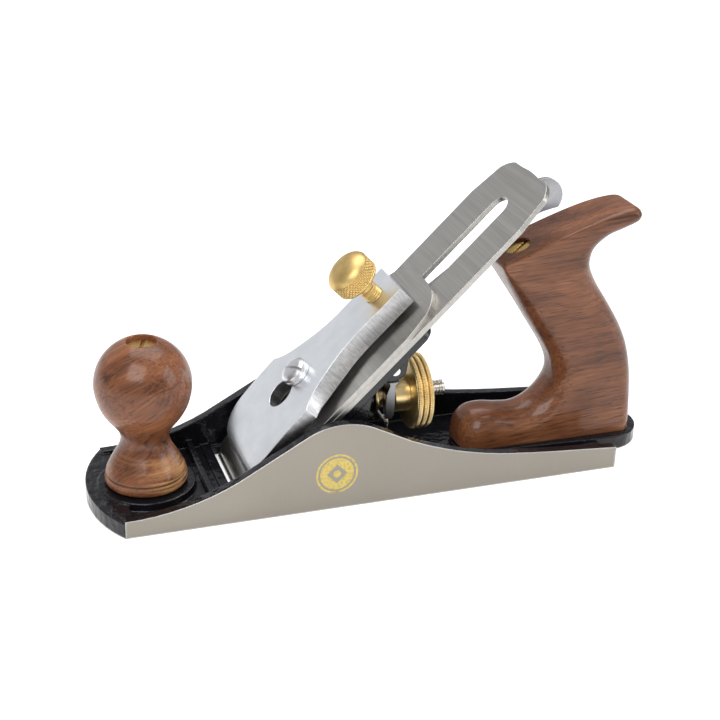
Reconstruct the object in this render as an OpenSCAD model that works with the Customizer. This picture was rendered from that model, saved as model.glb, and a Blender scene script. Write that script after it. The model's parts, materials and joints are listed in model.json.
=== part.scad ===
// Bench smoothing plane with a 45 degree cutter, wooden knob and wooden handle.
// Frame: +X runs from the toe to the heel, +Y across the body, +Z up from the sole.
// The origin is on the ground sole, in the middle of the overall length and width.
// "Bed" coordinates run up the cutter's top face: u up the slope, v across, w off the face.

/* [Body] */
// Width across the two ground sides
body_width = 64; // [60:0.5:70]
// Length of each ground side
side_length = 220; // [210:1:240]
// How far the rounded toe stands ahead of the sides
toe_bow = 10.5; // [6:0.5:14]
// Radius of the rounded heel under the handle
heel_radius = 17; // [14:0.5:20]
// Thickness of the sole
sole_thickness = 4.2; // [3:0.1:6]
// Thickness of each cheek
cheek_thickness = 4; // [3:0.1:6]
// Height of the cheek at its highest point
cheek_height = 39.4; // [34:0.1:44]

/* [Knob and handle] */
// Radius of the knob's ball
knob_ball_radius = 20.2; // [16:0.1:24]
// Height of the top of the knob above the sole
knob_top = 74; // [60:0.5:80]
// Thickness of the handle across the grip
tote_thickness = 24.6; // [20:0.1:28]
// Diameter of the two brass barrel nuts
barrel_nut_diameter = 12; // [9:0.1:14]

/* [Cutter] */
// Width of the cutter and the cap iron
cutter_width = 50; // [45:0.5:55]
// Thickness of the cutter
cutter_thickness = 2.3; // [1.8:0.1:3]
// Length of the cutter along the bed
cutter_length = 185; // [170:1:195]
// Width of the slot in the cutter
cutter_slot = 11; // [9:0.1:12]
// Length of the cap iron up the bed
cap_iron_length = 121.4; // [110:0.2:130]

/* [Lever cap] */
// Half width of the lever cap's lower part
cap_half_width = 25; // [22:0.5:26]
// Half width of the lever cap's upper part
cap_neck_half = 11.6; // [10:0.1:14]
// Height of the lever cap's top face above the cutter
cap_top = 13.4; // [11:0.1:15]
// Radius of the knurled head of the thumbscrew
thumb_radius = 10; // [8:0.5:12]

/* [Adjusters] */
// Radius of the brass depth wheel
wheel_radius = 16.6; // [14:0.1:18]
// Height of the wheel's axis above the sole
stud_height = 34.2; // [32:0.1:36]
// Half width of the frog
frog_half_width = 23.5; // [20:0.5:25]

/* [Hidden] */
$fn = 64;

// Colours
black_enamel = [0.07, 0.07, 0.08];
walnut = [0.36, 0.19, 0.12];
brass = [0.82, 0.64, 0.28];
bright_steel = [0.75, 0.75, 0.76];
cutter_steel = [0.66, 0.65, 0.63];
polished_cap = [0.86, 0.87, 0.9];

// Places along the body
half_body = body_width / 2;
inner_half = half_body - cheek_thickness;
heel_overhang = 24.5;
overall_length = toe_bow + side_length + heel_overhang;
side_front = -overall_length / 2 + toe_bow;
side_rear = side_front + side_length;
heel_centre = overall_length / 2 - heel_radius;
toe_deck_height = 6.8;
toe_rim_height = 7.8;
floor_z = sole_thickness;
platform_z = 6.4;
platform_front = side_front + 155;
running_gap = 0.03;

// Knob
knob_x = side_front + 14.75;
knob_base = 7.6;
boss_radius = 20.5;
knob_nut_z = knob_top - 4.2;
rod_radius = 2.9;
barrel_radius = barrel_nut_diameter / 2;

// Handle
tote_x = side_front;
tote_bolt_foot = [side_front + 218.4, 0, platform_z];
tote_lean = 23.4;
tote_nut_at = 98.6;
nut_flange = 3;
nut_length = 14;
bolt_end_gap = 4;

// Bed and irons
bed_x = side_front + 51.2;
bed_angle = 45;
bed_drop = cutter_thickness + 0.05;
mouth_front = bed_x - 3;
seat_z = 7;
cutter_start = 0.15;
bevel_length = 5;
screw_u = 55.5;
keyhole_u = 44.4;
slot_eye_u = 62;
cap_iron_screw_u = 38;
finger_u = 84.7;
roller_u = 92;
pivot_u = 103;
thumb_u = 102;
cap_iron_thickness = 2.2;
cap_end = 112;

// Frog
frog_end = 109;
frog_plate = 4;
frog_base_height = 4;
frog_back = -6;
stud_radius = 3.5;
fork_pivot = [4, 50];
fork_pin_radius = 2;
frog_screw_x = -26;
frog_screw_y = 13.5;
adjuster_z = 9.5;
adjuster_radius = 2.5;

// Moves children from bed coordinates to the plane's frame.
module on_bed() {
    translate([bed_x, 0, 0])
        rotate([0, -bed_angle, 0])
            children();
}

// A block whose section lies in the X-Z plane, centred on Y = 0.
module across(width) {
    rotate([90, 0, 0])
        linear_extrude(height = width, center = true)
            children();
}

// A round bar along X.
module bar_x(radius, from_x, to_x, z = 0, y = 0) {
    translate([from_x, y, z])
        rotate([0, 90, 0])
            cylinder(r = radius, h = to_x - from_x);
}

// Points of an arc in a plane, from angle a to angle b.
function arc(centre, radius, a, b, steps) = [
    for (i = [0:steps])
        let (t = a + (b - a) * i / steps)
            [centre[0] + radius * cos(t), centre[1] + radius * sin(t)]
];

// One point of a Catmull-Rom curve between p1 and p2.
function curve_point(p0, p1, p2, p3, t) =
    0.5 * (2 * p1 + (p2 - p0) * t + (2 * p0 - 5 * p1 + 4 * p2 - p3) * t * t
    + (3 * p1 - p0 - 3 * p2 + p3) * t * t * t);

// A smooth open curve through a list of points.
function smooth_open(points, steps) = [
    for (i = [0:len(points) - 2])
        for (k = [0:steps - 1])
            curve_point(points[max(i - 1, 0)], points[i], points[i + 1],
                points[min(i + 2, len(points) - 1)], k / steps),
    points[len(points) - 1]
];

// A smooth closed curve through a list of points.
function smooth_closed(points, steps) = [
    for (i = [0:len(points) - 1])
        for (k = [0:steps - 1])
            let (n = len(points))
                curve_point(points[(i + n - 1) % n], points[i], points[(i + 1) % n],
                    points[(i + 2) % n], k / steps)
];

// Top line of a cheek, from the toe corner to the heel corner.
ramp_slope = 27;
hump_radius = 31;
hump_centre = [side_front + 91, cheek_height - hump_radius];
front_arc_radius = 103;
rear_arc_radius = 158;
tail_radius = 600;
function cheek_line() =
    let (
        front = arc([side_front, toe_rim_height + front_arc_radius], front_arc_radius,
            -90, -90 + ramp_slope, 8),
        hump = arc(hump_centre, hump_radius, 90 + ramp_slope, 90 - ramp_slope, 14),
        rear_start = [side_front + 122, 27.4],
        rear = arc(rear_start + rear_arc_radius * [sin(24), cos(24)], rear_arc_radius,
            -90 - 24, -90 - 7, 9),
        tail_start = rear[len(rear) - 1],
        tail = arc(tail_start + tail_radius * [sin(7), cos(7)], tail_radius,
            -90 - 7, -90 - 2.6, 4)
    )
    concat(front, hump, rear, [for (i = [1:len(tail) - 2]) tail[i]], [[side_rear, 10.2]]);

module cheek(side) {
    translate([0, side * (half_body - cheek_thickness / 2), 0])
        across(cheek_thickness)
            polygon(concat([[side_front, 0]], cheek_line(), [[side_rear, 0]]));
}

// Plan of the sole: bowed toe, straight sides, square end with the rounded heel behind it.
toe_radius = (half_body * half_body + toe_bow * toe_bow) / (2 * toe_bow);
module sole_plan() {
    union() {
        polygon(concat(
            arc([side_front - toe_bow + toe_radius, 0], toe_radius,
                180 + asin(half_body / toe_radius), 180 - asin(half_body / toe_radius), 16),
            [[side_rear, half_body], [side_rear, -half_body]]));
        platform_plan(heel_radius);
    }
}

// Plan of the handle's platform, round at both ends.
module platform_plan(radius) {
    front_radius = radius - 3;
    polygon(concat(
        arc([heel_centre, 0], radius, -90, 90, 24),
        arc([platform_front + front_radius, 0], front_radius, 90, 270, 20)));
}

module sole_casting() {
    color(black_enamel)
        difference() {
            union() {
                linear_extrude(height = floor_z)
                    sole_plan();
                cheek(-1);
                cheek(1);
                // Toe deck and its boss for the knob
                intersection() {
                    linear_extrude(height = toe_deck_height)
                        sole_plan();
                    translate([side_front - toe_bow - 1, -half_body, 0])
                        cube([toe_bow + 5, body_width, toe_deck_height]);
                }
                translate([knob_x, 0, 0])
                    cylinder(r1 = boss_radius + 0.6, r2 = boss_radius, h = knob_base);
                // Rib across the bed and step ahead of the mouth
                translate([side_front + 37.5, -inner_half - 1, 0])
                    cube([2.6, 2 * inner_half + 2, 8.2]);
                translate([side_front + 44, -inner_half - 1, 0])
                    cube([mouth_front - side_front - 44, 2 * inner_half + 2, floor_z + 1]);
                // Frog seat behind the mouth, sloped to carry on the frog's bed
                across(2 * inner_half + 2)
                    polygon([
                        [bed_x + bed_drop * sqrt(2), 0],
                        [bed_x + bed_drop * sqrt(2) + seat_z, seat_z],
                        [bed_x + 21, seat_z],
                        [bed_x + 24, floor_z],
                        [bed_x + 24, 0]
                    ]);
                for (side = [-1, 1])
                    translate([frog_screw_x - 7, side * frog_screw_y - 6, 0])
                        cube([16, 12, seat_z]);
                // Lug that the frog's adjusting screw runs in
                translate([-32, -6, 0])
                    cube([14, 12, 14.5]);
                // Platform under the handle
                linear_extrude(height = platform_z)
                    platform_plan(heel_radius);
            }
            // Mouth
            across(cutter_width + 2)
                polygon([
                    [mouth_front, -1],
                    [mouth_front, seat_z + 2],
                    [bed_x + bed_drop * sqrt(2) + seat_z + 2, seat_z + 2],
                    [bed_x + bed_drop * sqrt(2) - 1, -1]
                ]);
            // Tapped holes for the knob, the handle and the frog
            translate([knob_x, 0, 1.2])
                cylinder(r = rod_radius + 0.02, h = 20);
            at_tote_bolt()
                translate([0, 0, -4.6])
                    cylinder(r = rod_radius + 0.02, h = 20);
            for (side = [-1, 1])
                translate([frog_screw_x, side * frog_screw_y, 1.2])
                    cylinder(r = 2.52, h = 20);
            bar_x(adjuster_radius + 0.05, -40, 0, adjuster_z);
        }
}

// Knob section: radius and height above its foot.
knob_height = knob_top - knob_base;
knob_profile = concat(
    [[0, 0], [15.2, 0]],
    smooth_open([[15.2, 0], [16.9, 1], [17.4, 2.6], [17.1, 4.5]], 3),
    [[16.3, 5.1]],
    smooth_open([
        [16.9, 5.6], [16.5, 7], [15, 10.1], [13, 13.6], [11.3, 16.6], [10.3, 19.5],
        [10.2, 22], [11.1, 25], [13.3, 28.2], [16, 31.8], [18.4, 36.4], [19.8, 41.4]
    ], 3),
    arc([0, knob_height - knob_ball_radius], knob_ball_radius, -8, 89, 20),
    [[0, knob_height]]
);

module front_knob() {
    color(walnut)
        translate([knob_x, 0, knob_base + running_gap])
            difference() {
                rotate_extrude()
                    polygon(knob_profile);
                translate([0, 0, -1])
                    cylinder(r = rod_radius + 0.3, h = knob_height + 2);
                translate([0, 0, knob_nut_z - knob_base])
                    nut_recess();
            }
}

// Stepped hole in the wood for a barrel nut whose face is at z = 0.
module nut_recess() {
    translate([0, 0, -nut_flange - running_gap])
        cylinder(r = barrel_radius + 0.1, h = 30);
    translate([0, 0, -nut_length - 1])
        cylinder(r = barrel_radius - 1.5, h = nut_length);
}

// A slotted barrel nut whose face is at z = 0.
module barrel_nut() {
    difference() {
        union() {
            translate([0, 0, -nut_flange])
                cylinder(r = barrel_radius, h = nut_flange);
            translate([0, 0, -nut_length])
                cylinder(r = barrel_radius - 1.6, h = nut_length - 1);
        }
        translate([0, 0, -nut_length - 1])
            cylinder(r = rod_radius + 0.02, h = nut_length - bolt_end_gap + 1.5);
        translate([-barrel_radius - 1, -0.8, -1.2])
            cube([2 * barrel_radius + 2, 1.6, 3]);
    }
}

module knob_bolt() {
    color(bright_steel)
        translate([knob_x, 0, 1.4])
            cylinder(r = rod_radius, h = knob_nut_z - 1.4 - bolt_end_gap);
}

module knob_nut() {
    color(brass)
        translate([knob_x, 0, knob_nut_z])
            rotate([0, 0, 70])
                barrel_nut();
}

// Handle edges in X and Z, measured from the front corner of the ground side and listed
// upwards, so that points with the same number face each other. Each entry is x, z and
// how round the edge is there. Both run on below the platform, where the foot is cut off.
tote_front = [
    [157, -24, 3], [155.4, -12, 6], [154.6, 2, 8.5], [155, 13.5, 10.5], [157.6, 19.2, 11.5],
    [162, 22.2, 12], [168.5, 22.9, 12], [176, 21.9, 12], [184, 21.4, 12], [190.6, 24, 12],
    [196.2, 29.4, 11.5], [199, 35.5, 11], [198, 42.5, 10], [193.6, 50.8, 10],
    [187.3, 60.4, 10], [180.4, 71, 10], [173.4, 82, 7], [168, 91.2, 2.2], [167.4, 93.6, 1.6],
    [169.4, 95.2, 1.2], [178.5, 98.3, 1.2], [190, 103, 1.2], [203, 107.8, 1.2],
    [215, 111.8, 1.4], [224, 114, 2]
];
tote_rear = [
    [238, -24, 3], [239, -14, 6], [239.4, -8, 8], [239.4, -5, 8.5], [239.4, -2, 9],
    [239.4, 0.5, 9], [239.4, 3, 9], [239.4, 6, 9], [239.3, 11, 9], [239, 18, 9.5],
    [238.4, 27, 10], [237.4, 36, 10.5], [235.6, 44.5, 11], [232.8, 52.4, 11],
    [228.6, 60.8, 12], [222.8, 69.8, 12], [216.2, 79.6, 12], [212.4, 87.4, 12],
    [212, 92.4, 12], [213.2, 96.6, 11], [218, 101.4, 9], [224.6, 104.6, 7],
    [230.8, 107.6, 5.5], [232.4, 111.4, 4], [229.6, 114.2, 3]
];
tote_rings = 6;
tote_outline = smooth_closed(
    concat(tote_front, [for (i = [len(tote_rear) - 1:-1:0]) tote_rear[i]]), 2);

// Inward direction of a closed outline at point i.
function inward(points, i) =
    let (
        n = len(points),
        d = points[(i + 1) % n] - points[(i + n - 1) % n],
        s = norm([d[0], d[1]])
    )
    [d[1] / s, -d[0] / s];

// Side face of a rounded solid: strips between facing points, numbered from first.
function side_face(first, n) =
    concat(
        [[first + n - 1, first, first + n - 2]],
        [
            for (k = [0:n / 2 - 2])
                for (half_strip = [0, 1])
                    if (half_strip == 0)
                        [first + k, first + k + 1, first + n - 2 - k]
                    else if (k < n / 2 - 2)
                        [first + k + 1, first + n - 3 - k, first + n - 2 - k]
        ]);

// The same triangles seen from the other side.
function turned(faces) = [for (face = faces) [face[2], face[1], face[0]]];

// Rounded solid: rings of the outline, drawn in more the nearer they are to a face.
module rounded_slab(points, half, rings) {
    n = len(points);
    levels = [
        for (side = [-1, 1])
            for (k = [0:rings])
                [side, side < 0 ? 90 - 90 * k / rings : 90 * k / rings]
    ];
    verts = [
        for (level = levels)
            for (i = [0:n - 1])
                let (
                    r = min(points[i][2], half),
                    inset = r * (1 - cos(level[1])) * 0.72,
                    y = level[0] * (half - r + r * sin(level[1])),
                    dir = inward(points, i)
                )
                [points[i][0] + dir[0] * inset, y, points[i][1] + dir[1] * inset]
    ];
    polyhedron(
        points = verts,
        faces = concat(
            side_face(0, n),
            turned(side_face((len(levels) - 1) * n, n)),
            [
                for (k = [0:len(levels) - 2])
                    for (i = [0:n - 1])
                        for (half_face = [0, 1])
                            half_face == 0
                                ? [k * n + i, (k + 1) * n + i, k * n + (i + 1) % n]
                                : [k * n + (i + 1) % n, (k + 1) * n + i, (k + 1) * n + (i + 1) % n]
            ]),
        convexity = 6);
}

// Places children at the handle bolt's foot, leaning with it.
module at_tote_bolt() {
    translate(tote_bolt_foot)
        rotate([0, -tote_lean, 0])
            children();
}

module rear_tote() {
    color(walnut)
        difference() {
            translate([tote_x, 0, 0])
                rounded_slab(tote_outline, tote_thickness / 2, tote_rings);
            translate([0, -50, platform_z + running_gap - 100])
                cube([200, 100, 100]);
            at_tote_bolt() {
                translate([0, 0, -5])
                    cylinder(r = rod_radius + 0.3, h = tote_nut_at + 10);
                translate([0, 0, tote_nut_at])
                    nut_recess();
            }
        }
}

module tote_bolt() {
    color(bright_steel)
        at_tote_bolt()
            translate([0, 0, -4.2])
                cylinder(r = rod_radius, h = tote_nut_at - bolt_end_gap + 4.2);
}

module tote_nut() {
    color(brass)
        at_tote_bolt()
            translate([0, 0, tote_nut_at])
                rotate([0, 0, 25])
                    barrel_nut();
}

module frog_screws() {
    color(bright_steel)
        for (side = [-1, 1])
            translate([frog_screw_x, side * frog_screw_y, 0])
                difference() {
                    union() {
                        translate([0, 0, 1.4])
                            cylinder(r = 2.5, h = 11);
                        translate([0, 0, 12.3])
                            cylinder(r = 4.2, h = 3.6);
                    }
                    translate([-6, -0.6, 14.6])
                        cube([12, 1.2, 2]);
                }
}

module frog_washers() {
    color(bright_steel)
        for (side = [-1, 1])
            translate([frog_screw_x, side * frog_screw_y, seat_z + frog_base_height + 0.04])
                difference() {
                    cylinder(r = 5.5, h = 1.2);
                    translate([0, 0, -1])
                        cylinder(r = 2.55, h = 4);
                }
}

// Side web of the frog, in X and Z.
module frog_web() {
    polygon([
        [bed_x + 11, seat_z],
        [frog_back, seat_z],
        [frog_back, seat_z + frog_base_height],
        [-11, 15],
        [-13.5, 30],
        [-9.6, 50.6],
        [-45.6, 14.6]
    ]);
}

// Bed plate seen square on, with its two upper corners rounded.
frog_corner = 6;
module frog_plate_plan() {
    polygon(concat(
        [[5, -frog_half_width]],
        arc([frog_end - frog_corner, frog_corner - frog_half_width], frog_corner, -90, 0, 8),
        arc([frog_end - frog_corner, frog_half_width - frog_corner], frog_corner, 0, 90, 8),
        [[5, frog_half_width]]));
}

module frog() {
    color(black_enamel)
        difference() {
            union() {
                // Bed plate, cut off level with the seat
                intersection() {
                    on_bed()
                        translate([0, 0, -bed_drop - frog_plate])
                            linear_extrude(height = frog_plate)
                                frog_plate_plan();
                    translate([-100, -50, seat_z])
                        cube([200, 100, 100]);
                }
                // Base and side webs
                translate([bed_x + 15, 0.8 - frog_half_width, seat_z])
                    cube([frog_back - bed_x - 15, 2 * frog_half_width - 1.6, frog_base_height]);
                for (side = [-1, 1])
                    translate([0, side * (frog_half_width - 2.4), 0])
                        across(4)
                            frog_web();
                // Back wall, pad for the plate and boss for the stud
                across(2 * frog_half_width - 2)
                    polygon([[-16, 16], [-10.6, 16], [-12.6, 30], [-9.6, 50.6], [-16, 44.2]]);
                translate([-16, -6, 16])
                    cube([17.3, 12, 9]);
                bar_x(7, -16, -3.9, stud_height);
                // Lugs for the forked lever's pin
                for (side = [-1, 1])
                    translate([0, side * 9.2, 0])
                        across(4)
                            polygon([
                                [-13, 47], [-2, 46], [fork_pivot[0], fork_pivot[1] - 4.6],
                                [fork_pivot[0] + 4.6, fork_pivot[1] - 2],
                                [fork_pivot[0] + 5.5, fork_pivot[1] + 4],
                                [fork_pivot[0] + 5.5, 67], [-9, 51]
                            ]);
                // Boss for the lever cap screw
                on_bed()
                    translate([screw_u, 0, -16])
                        cylinder(r = 6, h = 13);
            }
            // Room for the adjusting screw's lug
            translate([-37, -7.5, seat_z - 1])
                cube([40, 15, 9.5]);
            // Slots under the two frog screws
            for (side = [-1, 1])
                translate([frog_screw_x, side * frog_screw_y, 0])
                    linear_extrude(height = 14)
                        polygon(concat(
                            arc([0.2 + 1.8, 0], 2.75, -90, 90, 12),
                            arc([-0.2, 0], 2.75, 90, 270, 12)));
            // Windows over the frog screws
            for (side = [-1, 1])
                translate([frog_screw_x, side * frog_screw_y, 20])
                    cylinder(r = 5.8, h = 40);
            // Opening for the cap iron screw's head
            on_bed()
                translate([29, -9, -20])
                    cube([19, 18, 30]);
            // Slot for the forked lever's finger
            on_bed()
                translate([finger_u - 3.6, -3.2, -13])
                    cube([7.2, 6.4, 20]);
            // Recess for the lateral lever
            on_bed()
                translate([roller_u - 8, -10, -bed_drop - 2])
                    cube([frog_end - roller_u + 12, 20, 5]);
            bar_x(stud_radius + 0.02, -20, 1, stud_height);
            bar_x(1.92, -6, 3, 20.5);
            on_bed()
                translate([screw_u, 0, -20])
                    cylinder(r = 3.05, h = 30);
            on_bed()
                translate([pivot_u, 0, -bed_drop - frog_plate - 1])
                    cylinder(r = 1.52, h = 10);
            translate([fork_pivot[0], 0, fork_pivot[1]])
                rotate([90, 0, 0])
                    cylinder(r = fork_pin_radius + 0.02, h = 40, center = true);
        }
}

module depth_stud() {
    color(bright_steel) {
        bar_x(stud_radius, -15, 30.2, stud_height);
        bar_x(stud_radius - 0.9, 30, 31, stud_height);
    }
}

module y_lever_pin() {
    color(bright_steel)
        translate([fork_pivot[0], 0, fork_pivot[1]])
            rotate([90, 0, 0])
                cylinder(r = fork_pin_radius, h = 22.6, center = true);
}

module lateral_pivot() {
    color(bright_steel)
        on_bed()
            translate([pivot_u, 0, -bed_drop - frog_plate - 0.4])
                cylinder(r = 1.5, h = 5.2);
}

module frog_adjusting_plate() {
    color(bright_steel)
        difference() {
            translate([1.35, -7, 5.2])
                cube([1.2, 14, 19]);
            translate([0, -2.3, 4])
                cube([4, 4.6, adjuster_z - 4]);
            bar_x(2.3, 0, 4, adjuster_z);
            bar_x(1.95, 0, 4, 20.5);
        }
}

module frog_plate_screw() {
    color(bright_steel)
        difference() {
            union() {
                bar_x(1.9, -5, 2.7, 20.5);
                bar_x(3.2, 2.6, 4.6, 20.5);
            }
            translate([3.8, -4, 20.1])
                cube([2, 8, 0.8]);
        }
}

module frog_adjusting_screw() {
    color(bright_steel)
        difference() {
            union() {
                bar_x(adjuster_radius, -24, 0.2, adjuster_z);
                bar_x(3.8, 0, 1.2, adjuster_z);
                bar_x(2, 1, 3, adjuster_z);
                bar_x(4.4, 2.7, 7, adjuster_z);
            }
            translate([5.8, -6, adjuster_z - 0.6])
                cube([3, 12, 1.2]);
        }
}

// Brass wheel: flange, groove for the fork, hub and three knurled ridges.
module depth_nut() {
    color(brass)
        difference() {
            translate([1.4, 0, stud_height])
                rotate([0, 90, 0])
                    rotate_extrude()
                        polygon([
                            [3, -4.8], [7.2, -4.8], [8, -4], [8, -3.4], [7.2, -2.8], [5.5, -2.8],
                            [5.5, 4.2], [7.9, 4.2], [8.3, 4.8], [8.3, 11.2],
                            [wheel_radius - 1.6, 11.6], [wheel_radius, 12.2],
                            [wheel_radius, 13.8], [wheel_radius - 1.3, 14.1],
                            [wheel_radius - 1.3, 14.7], [wheel_radius, 15],
                            [wheel_radius, 16.4], [wheel_radius - 1.3, 16.7],
                            [wheel_radius - 1.3, 17.3], [wheel_radius, 17.6],
                            [wheel_radius, 18.8], [wheel_radius - 1.2, 19.3],
                            [6.6, 19.3], [6, 18.6], [3, 18.6]
                        ]);
            bar_x(stud_radius + 0.06, -10, 40, stud_height);
        }
}

// Forked lever: finger up through the bed, two arms down beside the wheel's groove.
module y_lever() {
    color(bright_steel)
        difference() {
            union() {
                translate([fork_pivot[0], 0, fork_pivot[1]])
                    rotate([90, 0, 0])
                        cylinder(r = 4.4, h = 13.6, center = true);
                on_bed()
                    translate([finger_u - 1.5, -2.5, -14])
                        cube([3, 5, 15.8]);
                difference() {
                    across(19)
                        polygon([
                            [fork_pivot[0] - 4, fork_pivot[1] - 1.6],
                            [2.4, 42.5], [0.9, 38], [0.6, 33], [0.8, 28.4], [1.6, 26.9],
                            [3.6, 26.9], [4.6, 28.4], [4.75, 33], [4.9, 42.6], [7.4, 44.4],
                            [fork_pivot[0] + 4.2, fork_pivot[1] - 1]
                        ]);
                    translate([-5, -6, 20])
                        cube([20, 12, stud_height - 20]);
                    bar_x(6, -5, 20, stud_height);
                    for (side = [-1, 1])
                        translate([-5, side * 12 - 5.2, 44])
                            cube([25, 10.4, 20]);
                }
            }
            translate([fork_pivot[0], 0, fork_pivot[1]])
                rotate([90, 0, 0])
                    cylinder(r = fork_pin_radius + 0.05, h = 40, center = true);
        }
}

// Lateral lever: plate in the frog's recess, strip behind the cutter, dished thumb tab.
strip_lean = 8;
tab_u = 180;
tab_w = -12.5;
module lateral_lever() {
    color(bright_steel)
        on_bed()
            difference() {
                union() {
                    translate([roller_u, -3.6, -bed_drop - 1.9])
                        cube([pivot_u - roller_u + 10, 7.2, 1.5]);
                    translate([roller_u, 0, -bed_drop - 1.9])
                        cylinder(r = 4.4, h = 1.5);
                    translate([pivot_u, 0, -bed_drop - 1.9])
                        cylinder(r = 5, h = 1.5);
                    translate([pivot_u + 9.5, -3.5, -bed_drop - 1.9])
                        rotate([0, strip_lean, 0])
                            cube([62, 7, 1.5]);
                    intersection() {
                        translate([tab_u, -24, tab_w])
                            difference() {
                                sphere(r = 26, $fn = 96);
                                sphere(r = 24.4, $fn = 96);
                            }
                        translate([tab_u, 4, tab_w])
                            rotate([90, 0, 0])
                                linear_extrude(height = 8)
                                    polygon(concat(
                                        arc([1.5, 0], 8.6, -80, 80, 12),
                                        arc([-3, 2], 6.6, 100, 260, 12)));
                    }
                }
                translate([pivot_u, 0, -10])
                    cylinder(r = 1.56, h = 20);
                translate([roller_u, 0, -10])
                    cylinder(r = 1.32, h = 20);
            }
}

module lateral_roller() {
    color(bright_steel)
        on_bed()
            translate([roller_u, 0, 0]) {
                translate([0, 0, -bed_drop - 1.9])
                    cylinder(r = 1.3, h = 2);
                translate([0, 0, -bed_drop - 0.35])
                    cylinder(r = 4.4, h = 2.2);
            }
}

// Plan of a blade end that narrows a little and rounds off.
module blade_end_plan(half, length, shoulder, tip_half, corner) {
    polygon(concat(
        [[cutter_start, -half], [length - shoulder, -half]],
        arc([length - corner, -tip_half + corner * 0.3], corner, -62, -18, 6),
        arc([length - 60, 0], 60, -7, 7, 6),
        arc([length - corner, tip_half - corner * 0.3], corner, 18, 62, 6),
        [[length - shoulder, half], [cutter_start, half]]));
}

module cutter() {
    color(cutter_steel)
        on_bed()
            difference() {
                translate([0, 0, -cutter_thickness])
                    linear_extrude(height = cutter_thickness)
                        difference() {
                            blade_end_plan(cutter_width / 2, cutter_length, 22, 15, 12);
                            polygon(concat(
                                arc([170 - cutter_slot / 2, 0], cutter_slot / 2, -90, 90, 14),
                                arc([37, 0], cutter_slot / 2, 90, 270, 14)));
                            translate([slot_eye_u, 0])
                                circle(r = 8);
                        }
                // Bevel
                across(cutter_width + 2)
                    polygon([
                        [cutter_start - 1, -0.46],
                        [cutter_start, 0],
                        [cutter_start + bevel_length, -cutter_thickness - 0.01],
                        [cutter_start - 1, -cutter_thickness - 0.01]
                    ]);
            }
}

module cap_iron() {
    color(cutter_steel)
        on_bed()
            difference() {
                intersection() {
                    across(cutter_width + 2)
                        polygon(concat(
                            smooth_open([
                                [1.8, 0.25], [3.2, 1.7], [5.6, 3], [8.6, 3.8], [11.6, 3.9],
                                [14.6, 3.3], [18, 2.55], [22, 2.22]
                            ], 2),
                            [[130, cap_iron_thickness], [130, 0.02]],
                            [[22, 0.02], [18, 0.35], [14.6, 1.1], [11.6, 1.7], [8.6, 1.6],
                                [5.6, 0.9], [3.6, 0.1], [2, 0.05]]));
                    linear_extrude(height = 10)
                        translate([0.01, 0])
                            blade_end_plan(cutter_width / 2 - 0.1, cap_iron_length, 22, 12, 18);
                }
                // Way for the lever cap screw
                linear_extrude(height = 20, center = true)
                    polygon(concat(
                        arc([screw_u + 6, 0], 6.7, -90, 90, 12),
                        arc([screw_u - 6, 0], 6.7, 90, 270, 12)));
                translate([finger_u - 1.9, -3, -1])
                    cube([3.8, 6, 6]);
                translate([cap_iron_screw_u, 0, -1])
                    cylinder(r = 3.52, h = 10);
            }
}

module cap_iron_screw() {
    color(bright_steel)
        on_bed()
            translate([cap_iron_screw_u, 0, 0])
                difference() {
                    union() {
                        translate([0, 0, -5.2])
                            cylinder(r = 7, h = 2.8);
                        translate([0, 0, -2.5])
                            cylinder(r = 3.5, h = 5.2);
                    }
                    translate([-8, -0.7, -6])
                        cube([16, 1.4, 1.8]);
                }
}

// Plan of the lever cap: round lower end, wide body, concave waist, parallel neck.
module lever_cap_plan() {
    waist = smooth_open([
        [50, cap_half_width], [53.4, 21.6], [58, 18.8], [64, 16.4], [71, 14], [78, 12.3],
        [85, cap_neck_half]
    ], 3);
    side = concat(
        arc([26, cap_half_width - 15.5], 15.5, 166, 90, 9),
        [[36, cap_half_width]],
        waist,
        [[cap_end, cap_neck_half + 0.3]]);
    polygon(concat(side, [for (i = [len(side) - 1:-1:0]) [side[i][0], -side[i][1]]]));
}

module lever_cap() {
    color(polished_cap)
        on_bed()
            difference() {
                intersection() {
                    across(60)
                        polygon(concat(
                            smooth_open([
                                [10, 4.9], [10.3, 6.4], [12, 8.4], [15, 9.8], [19, 10.8],
                                [25, 11.7], [32, 12.4], [41, 13.1], [50, cap_top]
                            ], 2),
                            [
                                [cap_end, cap_top], [cap_end, 4.6], [84, 4.5], [70, 4.7],
                                [58, 5.4], [50, 7], [38, 7], [26, 6.2], [18, 5.2],
                                [14, 4.4], [11.4, 4]
                            ]));
                    linear_extrude(height = 20)
                        lever_cap_plan();
                }
                // Hollow underside between the neck's flanges
                translate([64, -cap_neck_half + 3.6, 0])
                    cube([30, 2 * cap_neck_half - 7.2, cap_top - 5.4]);
                // Keyhole
                translate([keyhole_u, 0, 0])
                    cylinder(r = 6.7, h = 20);
                linear_extrude(height = 20)
                    polygon(concat(
                        arc([screw_u, 0], 3.7, -90, 90, 12),
                        [[keyhole_u, 3.7], [keyhole_u, -3.7]]));
                translate([thumb_u, 0, 0])
                    cylinder(r = 4.05, h = 20);
            }
}

// Knurled brass screw with a domed head; its foot bears on the cap iron.
module cap_thumbscrew() {
    color(brass)
        on_bed()
            translate([thumb_u, 0, 0])
                rotate_extrude()
                    polygon(concat(
                        [
                            [0, cap_iron_thickness + 0.05], [2.6, cap_iron_thickness + 0.05],
                            [4, 4.6], [4, 18.4], [3.4, 18.8], [3.4, 20.2], [4.4, 20.8],
                            [4.4, 23], [thumb_radius - 1.2, 23.2], [thumb_radius, 24.2],
                            [thumb_radius, 30.8]
                        ],
                        smooth_open([
                            [thumb_radius - 0.6, 31.8], [thumb_radius - 2.4, 33.2],
                            [thumb_radius - 5.4, 34.5], [0.2, 35.2]
                        ], 3),
                        [[0, 35.2]]));
}

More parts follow.
